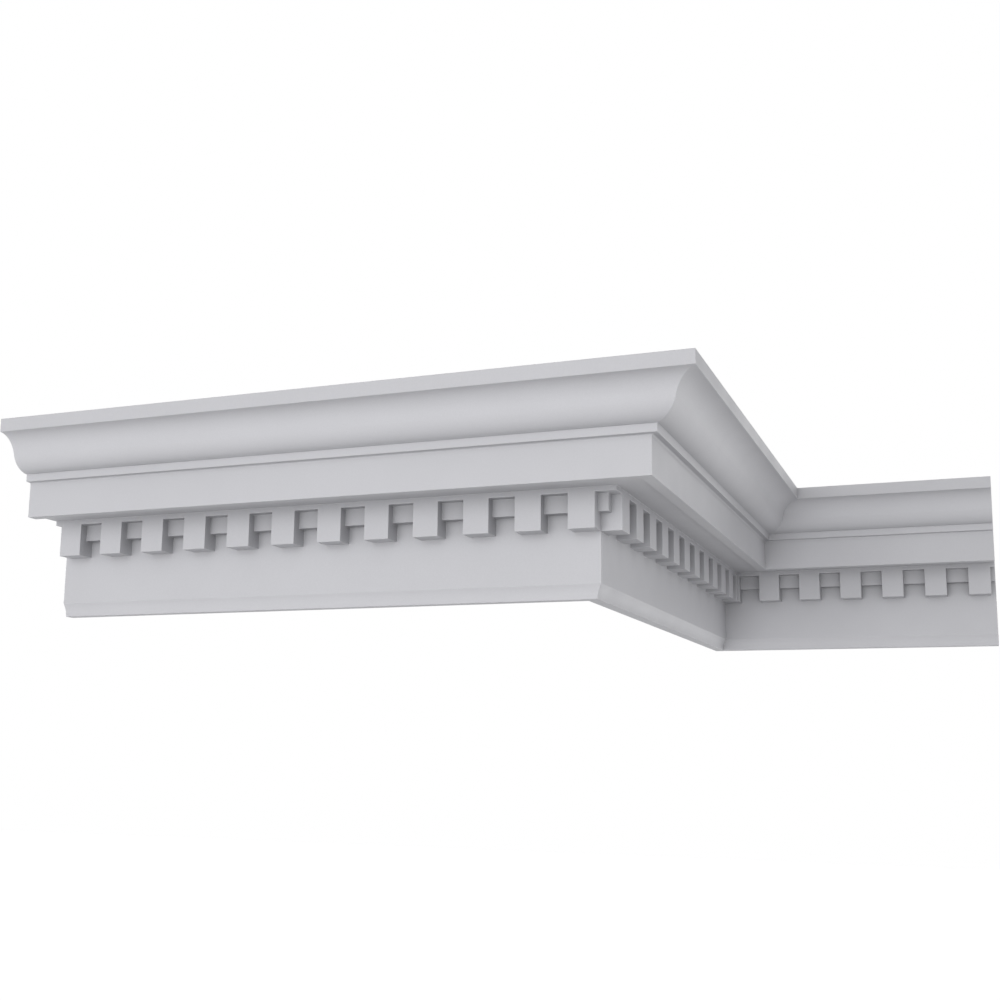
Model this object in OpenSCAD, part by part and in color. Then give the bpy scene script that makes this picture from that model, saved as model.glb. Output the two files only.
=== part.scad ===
// Dentil cornice moulding that follows a stepped wall: a front length, a return length that
// goes back from the outside corner, and a rear length that carries on from the inside corner.
// Both corners are mitred at 45 degrees.
//
// +Z is up. The wall's outside corner is the Z axis and the moulding's lower edge is z = 0.
// The front wall face is y = 0, the return's is x = 0, and the moulding stands off them
// towards -Y and +X. Sizes are in millimetres.

/* [Lengths along the wall] */
// Front length, from the outside corner to its cut end
front_length = 614; // [320:1:1200]
// Return length, from the outside corner to the inside corner
return_length = 624; // [320:1:1200]
// Rear length, from the inside corner to its cut end
rear_length = 373.5; // [250:0.5:1200]

/* [Heights of the members] */
// Whole height of the moulding, the plain frieze taking up what the members leave
height = 200; // [165:1:320]
// Flat fillet at the top edge
crown_fillet_h = 14.2; // [8:0.1:24]
// Cyma below the crown fillet
cyma_h = 37.4; // [28:0.1:45]
// Bed fillet between the cyma and the corona
bed_fillet_h = 8.1; // [5:0.1:12]
// Corona, from the bed fillet down to its drip edge
corona_h = 38.5; // [28:0.1:45]
// How far the soffit lies above the drip edge
drip_h = 3.5; // [1:0.1:8]
// Band that the dentils hang from, below the soffit
band_h = 5; // [3:0.1:10]
// Dentils below the band
dentil_h = 35.1; // [26:0.1:42]
// Rebated strip between the dentils, below the band
strip_h = 17.5; // [8:0.1:22]
// Hollow foot below the plain frieze
foot_h = 14.5; // [8:0.1:20]

/* [Projections of the members] */
// Plain frieze, off the wall
frieze_out = 18.2; // [14:0.1:30]
// Rebated strip, off the frieze
strip_out = 10.6; // [6:0.1:14]
// Dentils and their band, off the frieze
dentil_out = 21.3; // [16:0.1:26]
// Recessed soffit, from the band to the drip
soffit_w = 33.5; // [20:0.1:45]
// Drip edge, from the soffit to the corona's face
drip_w = 12.7; // [6:0.1:20]
// Bed fillet, off the corona's face
bed_fillet_out = 7; // [6:0.1:12]
// Cyma, from the bed fillet to the crown fillet
cyma_out = 45.3; // [30:0.1:60]

/* [Curves] */
// How far each arc of the cyma bows off its chord
cyma_bow = 4.9; // [2:0.1:6.5]
// Radius of the cove under the bed fillet
cove_r = 2; // [1:0.1:5]
// How far the foot's hollow runs in from the frieze to its lower edge
foot_hollow = 5.4; // [2:0.1:6]

/* [Dentils] */
// Width of one dentil
dentil_w = 27.2; // [18:0.1:36]
// Space between two dentils
dentil_gap = 27.1; // [18:0.1:36]
// How far the inside corner's dentil shows past the return's dentils
corner_dentil_w = 2.4; // [1:0.1:10]

/* [Back] */
// Height of the back that lies flat against the wall
wall_bearing = 130; // [100:1:160]
// Width of the top that lies flat against the ceiling
ceiling_bearing = 43; // [30:1:60]

/* [Hidden] */

primed_white = [0.79, 0.79, 0.81];
// How far joined shapes run into each other
lap = 1;
// Straight steps that each arc of the cyma is made in
cyma_steps = 12;
// Straight steps in the cove and in the foot's hollow
small_arc_steps = 6;

// Projections from the wall
dentil_d = frieze_out + dentil_out;
strip_d = frieze_out + strip_out;
drip_d = dentil_d + soffit_w;
corona_d = drip_d + drip_w;
bed_d = corona_d + bed_fillet_out;
crown_d = bed_d + cyma_out;
foot_d = frieze_out - foot_hollow;

// Levels above the lower edge
crown_z = height - crown_fillet_h;
cyma_z = crown_z - cyma_h;
bed_z = cyma_z - bed_fillet_h;
corona_z = bed_z - corona_h;
soffit_z = corona_z + drip_h;
band_z = soffit_z - band_h;
dentil_z = band_z - dentil_h;
strip_z = band_z - strip_h;

// Cyma: two equal arcs that meet halfway between its ends
cyma_mid = [bed_d + cyma_out / 2, cyma_z + cyma_h / 2];

// Foot: an arc that ends upright at the lower edge
foot_r = (pow(foot_hollow, 2) + pow(foot_h, 2)) / (2 * foot_hollow);

// Dentils: their row starts in line with the frieze at the outside corner
pitch = dentil_w + dentil_gap;
inner_dentil_y = return_length - dentil_d;
corner_dentil_end = dentil_d + corner_dentil_w;
root_d = frieze_out / 2;

// Number of whole dentils that start at `first` and end by `last`
function whole(first, last) = floor((last - first - dentil_w) / pitch) + 1;

// Bow of an arc of radius r over the chord from a to b
function bow_of(a, b, r) = r - sqrt(pow(r, 2) - pow(norm(b - a) / 2, 2));

// Points of the arc from a to b, which bows to the left of that line, or to the right where
// the bow is negative
function arc(a, b, bow, steps) =
    let (
        chord = norm(b - a),
        along = (b - a) / chord,
        aside = [-along[1], along[0]] * sign(bow),
        r = (pow(chord / 2, 2) + pow(bow, 2)) / (2 * abs(bow)),
        centre = (a + b) / 2 + aside * (abs(bow) - r),
        half = asin(chord / 2 / r)
    )
    [for (i = [0:steps])
        let (angle = half * (2 * i / steps - 1))
        centre + r * (sin(angle) * along + cos(angle) * aside)];

// Hollow foot of the frieze, from the lower edge up
function foot_outline() =
    let (low = [foot_d, 0], top = [frieze_out, foot_h])
    arc(low, top, bow_of(low, top, foot_r), small_arc_steps);

// Cove that fills the angle between the corona and the bed fillet
function cove_outline() =
    let (low = [corona_d, bed_z - cove_r], top = [corona_d + cove_r, bed_z])
    arc(low, top, bow_of(low, top, cove_r), small_arc_steps);

// Cyma, rounded below and hollow above
function cyma_outline() =
    let (upper = arc(cyma_mid, [crown_d, crown_z], cyma_bow, cyma_steps))
    concat(
        arc([bed_d, cyma_z], cyma_mid, -cyma_bow, cyma_steps),
        [for (i = [1:cyma_steps]) upper[i]]
    );

// Whole section, from the wall's face round the front: x is the projection from the wall and
// y is the height
module section() {
    polygon(concat(
        [[0, 0]],
        foot_outline(),
        [
            [frieze_out, strip_z],
            [strip_d, strip_z],
            [strip_d, band_z],
            [dentil_d, band_z],
            [dentil_d, soffit_z],
            [drip_d, soffit_z],
            [drip_d, corona_z],
            [corona_d, corona_z],
        ],
        cove_outline(),
        [[bed_d, bed_z]],
        cyma_outline(),
        [
            [crown_d, height],
            [crown_d - ceiling_bearing, height],
            [0, wall_bearing],
        ]
    ));
}

// Square-cut moulding on a wall face at x = 0, from y = start to y = end, with a dentil
// starting at each of the given y positions
module moulding(start, end, dentils) {
    translate([0, end, 0]) rotate([90, 0, 0]) linear_extrude(height = end - start) section();
    for (y = dentils) {
        translate([root_d, y, dentil_z]) cube([dentil_d - root_d, dentil_w, dentil_h + lap]);
    }
}

// The same moulding on a wall face at y = 0, standing off towards -Y
module moulding_across(start, end, dentils) {
    rotate([0, 0, -90]) moulding(start, end, dentils);
}

// Space on one side of the mitre plane through the wall corner at y = corner_y:
// `side` is 1 for the side towards +X and +Y, and -1 for the other
module mitre_side(corner_y, side) {
    reach = 2 * (front_length + return_length + rear_length);
    translate([0, corner_y, -1])
        rotate([0, 0, side > 0 ? 45 : 225])
            translate([0, -reach / 2, 0]) cube([reach, reach, height + 2]);
}

module front_length() {
    first = frieze_out - dentil_w;
    count = whole(-front_length, frieze_out);
    color(primed_white)
        intersection() {
            moulding_across(-front_length, crown_d, [for (i = [0:count - 1]) first - i * pitch]);
            mitre_side(0, -1);
        }
}

module return_length() {
    first = -frieze_out;
    count = floor((inner_dentil_y - first) / pitch) + 1;
    color(primed_white)
        intersection() {
            moulding(-crown_d, return_length, [for (i = [0:count - 1]) first + i * pitch]);
            mitre_side(0, 1);
            mitre_side(return_length, -1);
        }
}

module rear_length() {
    first = corner_dentil_end - dentil_w;
    count = whole(first, rear_length);
    color(primed_white)
        intersection() {
            translate([0, return_length, 0])
                moulding_across(0, rear_length, [for (i = [0:count - 1]) first + i * pitch]);
            mitre_side(return_length, 1);
        }
}

front_length();
return_length();
rear_length();
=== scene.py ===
import math

import bmesh
import bpy
from mathutils import Matrix, Vector


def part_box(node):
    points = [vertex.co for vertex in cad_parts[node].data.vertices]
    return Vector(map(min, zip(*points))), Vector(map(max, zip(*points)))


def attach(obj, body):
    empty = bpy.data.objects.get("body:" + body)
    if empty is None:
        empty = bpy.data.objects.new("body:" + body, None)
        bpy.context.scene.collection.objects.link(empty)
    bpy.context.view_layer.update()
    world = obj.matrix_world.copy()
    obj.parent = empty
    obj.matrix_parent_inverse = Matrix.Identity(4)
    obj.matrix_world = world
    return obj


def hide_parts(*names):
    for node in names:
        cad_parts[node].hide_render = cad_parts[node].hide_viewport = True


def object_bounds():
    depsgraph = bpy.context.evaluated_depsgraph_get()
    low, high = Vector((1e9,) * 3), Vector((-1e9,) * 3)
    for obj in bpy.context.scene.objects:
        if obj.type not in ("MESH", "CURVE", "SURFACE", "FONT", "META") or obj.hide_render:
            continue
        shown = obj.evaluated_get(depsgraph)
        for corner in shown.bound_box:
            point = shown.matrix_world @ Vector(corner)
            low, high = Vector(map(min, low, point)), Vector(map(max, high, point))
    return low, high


# A dentil cornice moulding in primed polyurethane, mitred round an outside and an inside corner.
# Everything is in metres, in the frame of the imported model: +Z up, the wall's outside corner on
# the Z axis, the moulding's lower edge at z = 0.

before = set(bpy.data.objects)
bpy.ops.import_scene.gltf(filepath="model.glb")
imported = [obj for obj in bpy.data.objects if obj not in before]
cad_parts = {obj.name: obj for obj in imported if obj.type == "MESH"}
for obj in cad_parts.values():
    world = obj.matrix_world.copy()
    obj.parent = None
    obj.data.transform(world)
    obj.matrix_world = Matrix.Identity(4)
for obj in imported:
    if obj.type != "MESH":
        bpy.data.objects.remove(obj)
cad_low, cad_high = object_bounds()

# Arrises: the moulding's sharp edges, very slightly rounded by the mould and its coat of primer
ARRIS_RADIUS = 0.0005
ARRIS_STEPS = 3
ARRIS_ANGLE = math.radians(25)

# Surface: which faces count as one plane or one curve, and which points count as the same
FLAT_ANGLE = math.radians(0.1)
SMOOTH_ANGLE = math.radians(35)
TOUCH = 0.00001

# Primer's colour, and how far and how strongly painted shade darkens the creases
PRIMER_COLOR = (0.6, 0.6, 0.628, 1)
PAINTED_SHADE_REACH = 0.06
PAINTED_SHADE_STRENGTH = 0.36
PAINTED_SHADE_SAMPLES = 8

# Primer's unevenness: features to a metre, then what each noise changes
NOISE_RANGE = (0.3, 0.7)
CLOUDS = 9
CLOUD_TONES = (0.985, 1.015)
SPECKLE = 700
SPECKLE_TONES = (0.985, 1.015)
ROUGHNESS_PATCHES = 25
PRIMER_ROUGHNESS = (0.52, 0.64)
PEEL = 350
PEEL_DEPTH = 0.00003
GRAIN = 1500
GRAIN_DEPTH = 0.00001

# Stage: the floor lies well below the moulding, because the camera looks up from under it
FLOOR_DROP = 2.5
FLOOR_SIZE = 60.0
FLOOR_COLOR = (0.92, 0.92, 0.92, 1)
FLOOR_GLOW = 0.9

# The room's light, from below to above: sine of the height above the horizon, strength
ROOM_LIGHT = [(-0.8, 0.3), (-0.5, 0.95), (0.1, 0.78), (0.5, 0.12)]
WHITE = (1, 1, 1, 1)

# Softboxes: round discs that face the moulding's middle from the same distance
SOFTBOX_SIZE = 2.4
SOFTBOX_DISTANCE = 3.0
# Name, azimuth anticlockwise from +X and height above the horizon in degrees, power in watts
SOFTBOXES = [
    ("front_softbox", -90, 0, 33),
    ("right_softbox", 60, 0, 24),
    ("left_softbox", 180, 0, 60),
    ("back_softbox", 130, 50, 30),
]

# Camera: its place, its heading anticlockwise from +Y, how far it looks up, and its roll
CAMERA_PLACE = (0.36304, -1.20382, -0.14958)
CAMERA_HEADING = math.radians(21.2392)
CAMERA_RAISE = math.radians(9.6716)
CAMERA_ROLL = math.radians(0.6793)
# Sensor and lens in millimetres, and the lens's shift right and up in sensor widths
SENSOR_WIDTH = 36
LENS = 46.59
LENS_SHIFT = (0.01096, 0.03501)


def mitre_planes():
    """A point on each mitre plane; both planes stand upright and face +X +Y."""
    inside_corner_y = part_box("return_length")[1].y
    return [Vector((0, 0, 0)), Vector((0, inside_corner_y, 0))]


def on_mitre(edge, planes):
    """Whether an edge lies in a mitre plane, where two lengths meet without a groove."""
    facing = Vector((1, 1, 0)).normalized()
    return any(
        all(abs((v.co - corner).dot(facing)) < TOUCH for v in edge.verts) for corner in planes
    )


def round_arrises(bm):
    """Round every sharp edge of a solid that isn't in a mitre."""
    planes = mitre_planes()
    arrises = [
        e for e in bm.edges if e.calc_face_angle(0) > ARRIS_ANGLE and not on_mitre(e, planes)
    ]
    bmesh.ops.bevel(
        bm,
        geom=arrises,
        offset=ARRIS_RADIUS,
        offset_type="OFFSET",
        segments=ARRIS_STEPS,
        profile=0.5,
        affect="EDGES",
        clamp_overlap=True,
    )


def finish_length(node, material):
    """Make one length's moulded surface: its CAD solid with rounded arrises and smooth curves."""
    mesh = bpy.data.meshes.new(node + "_moulded")
    bm = bmesh.new()
    bm.from_mesh(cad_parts[node].data)
    bmesh.ops.remove_doubles(bm, verts=bm.verts, dist=TOUCH)
    bmesh.ops.dissolve_limit(bm, angle_limit=FLAT_ANGLE, verts=bm.verts, edges=bm.edges)
    round_arrises(bm)
    for face in bm.faces:
        face.smooth = True
    for edge in bm.edges:
        edge.smooth = edge.calc_face_angle(0) < SMOOTH_ANGLE
    bm.to_mesh(mesh)
    bm.free()
    mesh.materials.append(material)
    piece = bpy.data.objects.new(node + "_moulded", mesh)
    bpy.context.scene.collection.objects.link(piece)
    normals = piece.modifiers.new("flat_faces_stay_flat", "WEIGHTED_NORMAL")
    normals.keep_sharp = True
    normals.weight = 100
    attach(piece, "root")
    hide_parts(node)


def add_node(tree, kind, inputs=(), **settings):
    """A shader node with its settings, its input values and its input links."""
    node = tree.nodes.new(kind)
    for name, value in settings.items():
        setattr(node, name, value)
    for name, value in dict(inputs).items():
        if isinstance(value, bpy.types.NodeSocket):
            tree.links.new(value, node.inputs[name])
        else:
            node.inputs[name].default_value = value
    return node


def noise(tree, place, scale, detail, roughness=0.5):
    """A noise between about 0.3 and 0.7, with `scale` features to a metre."""
    settings = {"Vector": place, "Scale": scale, "Detail": detail, "Roughness": roughness}
    return add_node(tree, "ShaderNodeTexNoise", settings).outputs["Fac"]


def map_range(tree, value, source, target):
    """The value mapped, and clamped, from the source range to the target range."""
    settings = {
        "Value": value,
        "From Min": source[0],
        "From Max": source[1],
        "To Min": target[0],
        "To Max": target[1],
    }
    return add_node(tree, "ShaderNodeMapRange", settings).outputs["Result"]


def times(tree, first, second):
    """The product of two values."""
    product = add_node(tree, "ShaderNodeMath", {0: first, 1: second}, operation="MULTIPLY")
    return product.outputs["Value"]


def painted_crease_shade(tree):
    """Painted shade: 1 on open faces, and less in a crease the deeper it is."""
    settings = {"Distance": PAINTED_SHADE_REACH}
    # Painted shade: ambient occlusion darkens the colour in creases and recesses, where shade
    # falls
    open_share = add_node(tree, "ShaderNodeAmbientOcclusion", settings, samples=PAINTED_SHADE_SAMPLES)
    tone = {0: open_share.outputs["AO"], 1: PAINTED_SHADE_STRENGTH}
    return add_node(tree, "ShaderNodeMath", tone, operation="POWER").outputs["Value"]


def bump(tree, height, depth, inputs=()):
    """The surface's normal, after a relief of the given depth in metres."""
    settings = {"Height": height, "Distance": depth, "Strength": 1.0, **dict(inputs)}
    return add_node(tree, "ShaderNodeBump", settings).outputs["Normal"]


def primed_foam():
    """Factory primer, rolled thin on moulded foam: matte, off-white, with painted shade darkening
    the creases, a faint unevenness in its tone and an orange-peel skin."""
    material = bpy.data.materials.new("primed_foam_surface")
    material.use_nodes = True
    tree = material.node_tree
    shader = tree.nodes["Principled BSDF"]
    place = add_node(tree, "ShaderNodeTexCoord").outputs["Object"]

    clouds = map_range(tree, noise(tree, place, CLOUDS, detail=3), NOISE_RANGE, CLOUD_TONES)
    specks = map_range(tree, noise(tree, place, SPECKLE, detail=2), NOISE_RANGE, SPECKLE_TONES)
    # The colour is the random tone times painted shade in the creases
    tone = times(tree, times(tree, clouds, specks), painted_crease_shade(tree))
    color = add_node(
        tree, "ShaderNodeMix", {"Factor": 1.0}, data_type="RGBA", blend_type="MULTIPLY"
    )
    color.inputs["A"].default_value = PRIMER_COLOR
    tree.links.new(tone, color.inputs["B"])
    tree.links.new(color.outputs["Result"], shader.inputs["Base Color"])

    patches = noise(tree, place, ROUGHNESS_PATCHES, detail=2)
    roughness = map_range(tree, patches, NOISE_RANGE, PRIMER_ROUGHNESS)
    tree.links.new(roughness, shader.inputs["Roughness"])

    peel = bump(tree, noise(tree, place, PEEL, detail=2), PEEL_DEPTH)
    grain_height = noise(tree, place, GRAIN, detail=3, roughness=0.6)
    grain = bump(tree, grain_height, GRAIN_DEPTH, {"Normal": peel})
    tree.links.new(grain, shader.inputs["Normal"])
    return material


def stage():
    """A plain pale floor, lit evenly; it adds no bounce to the moulding's underside."""
    reach = FLOOR_SIZE / 2
    height = cad_low.z - FLOOR_DROP
    corners = [(-reach, -reach), (reach, -reach), (reach, reach), (-reach, reach)]
    mesh = bpy.data.meshes.new("studio_floor")
    mesh.from_pydata([(x, y, height) for x, y in corners], [], [range(len(corners))])
    material = bpy.data.materials.new("studio_floor")
    material.use_nodes = True
    shader = material.node_tree.nodes["Principled BSDF"]
    shader.inputs["Base Color"].default_value = FLOOR_COLOR
    shader.inputs["Emission Color"].default_value = FLOOR_COLOR
    shader.inputs["Emission Strength"].default_value = FLOOR_GLOW
    mesh.materials.append(material)
    floor = bpy.data.objects.new("studio_floor", mesh)
    floor.visible_diffuse = False
    floor.visible_glossy = False
    bpy.context.scene.collection.objects.link(floor)


def room_light():
    """Light from all round, strongest from the room's walls, in front of a white backdrop."""
    world = bpy.data.worlds.new("studio")
    world.use_nodes = True
    tree = world.node_tree
    direction = add_node(tree, "ShaderNodeTexCoord").outputs["Generated"]
    height = add_node(tree, "ShaderNodeSeparateXYZ", {"Vector": direction}).outputs["Z"]
    position = map_range(tree, height, (-1, 1), (0, 1))
    strength = add_node(tree, "ShaderNodeValToRGB", {"Fac": position})
    stops = strength.color_ramp.elements
    while len(stops) < len(ROOM_LIGHT):
        stops.new(0)
    for stop, (sine, glow) in zip(stops, ROOM_LIGHT):
        stop.position = (sine + 1) / 2
        stop.color = (glow, glow, glow, 1)
    lighting = tree.nodes["Background"]
    tree.links.new(strength.outputs["Color"], lighting.inputs["Color"])
    backdrop = add_node(tree, "ShaderNodeBackground", {"Color": WHITE, "Strength": 1.0})
    path = add_node(tree, "ShaderNodeLightPath")
    sky = {
        0: path.outputs["Is Camera Ray"],
        1: lighting.outputs["Background"],
        2: backdrop.outputs["Background"],
    }
    mix = add_node(tree, "ShaderNodeMixShader", sky)
    tree.links.new(mix.outputs["Shader"], tree.nodes["World Output"].inputs["Surface"])
    bpy.context.scene.world = world


def softboxes():
    """Large soft lamps round the moulding, aimed at its middle."""
    middle = (cad_low + cad_high) / 2
    for name, azimuth, elevation, watts in SOFTBOXES:
        data = bpy.data.lights.new(name, "AREA")
        data.shape = "DISK"
        data.size = SOFTBOX_SIZE
        data.energy = watts
        lamp = bpy.data.objects.new(name, data)
        raised = Matrix.Rotation(-math.radians(elevation), 3, "Y") @ Vector((1, 0, 0))
        towards = Matrix.Rotation(math.radians(azimuth), 3, "Z") @ raised
        aim = towards.to_track_quat("Z", "Y").to_matrix().to_4x4()
        lamp.matrix_world = Matrix.Translation(middle + SOFTBOX_DISTANCE * towards) @ aim
        lamp.visible_camera = False
        bpy.context.scene.collection.objects.link(lamp)


def camera():
    """Looks up at the moulding from below its outside corner, turned to its left."""
    data = bpy.data.cameras.new("camera")
    data.sensor_width = SENSOR_WIDTH
    data.lens = LENS
    data.shift_x, data.shift_y = LENS_SHIFT
    viewer = bpy.data.objects.new("camera", data)
    turn = Matrix.Rotation(CAMERA_HEADING, 4, "Z")
    tilt = Matrix.Rotation(math.radians(90) + CAMERA_RAISE, 4, "X")
    roll = Matrix.Rotation(CAMERA_ROLL, 4, "Z")
    viewer.matrix_world = Matrix.Translation(CAMERA_PLACE) @ turn @ tilt @ roll
    bpy.context.scene.collection.objects.link(viewer)
    bpy.context.scene.camera = viewer


primer = primed_foam()
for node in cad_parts:
    finish_length(node, primer)
stage()
room_light()
softboxes()
camera()
bpy.context.scene.view_settings.view_transform = "Standard"
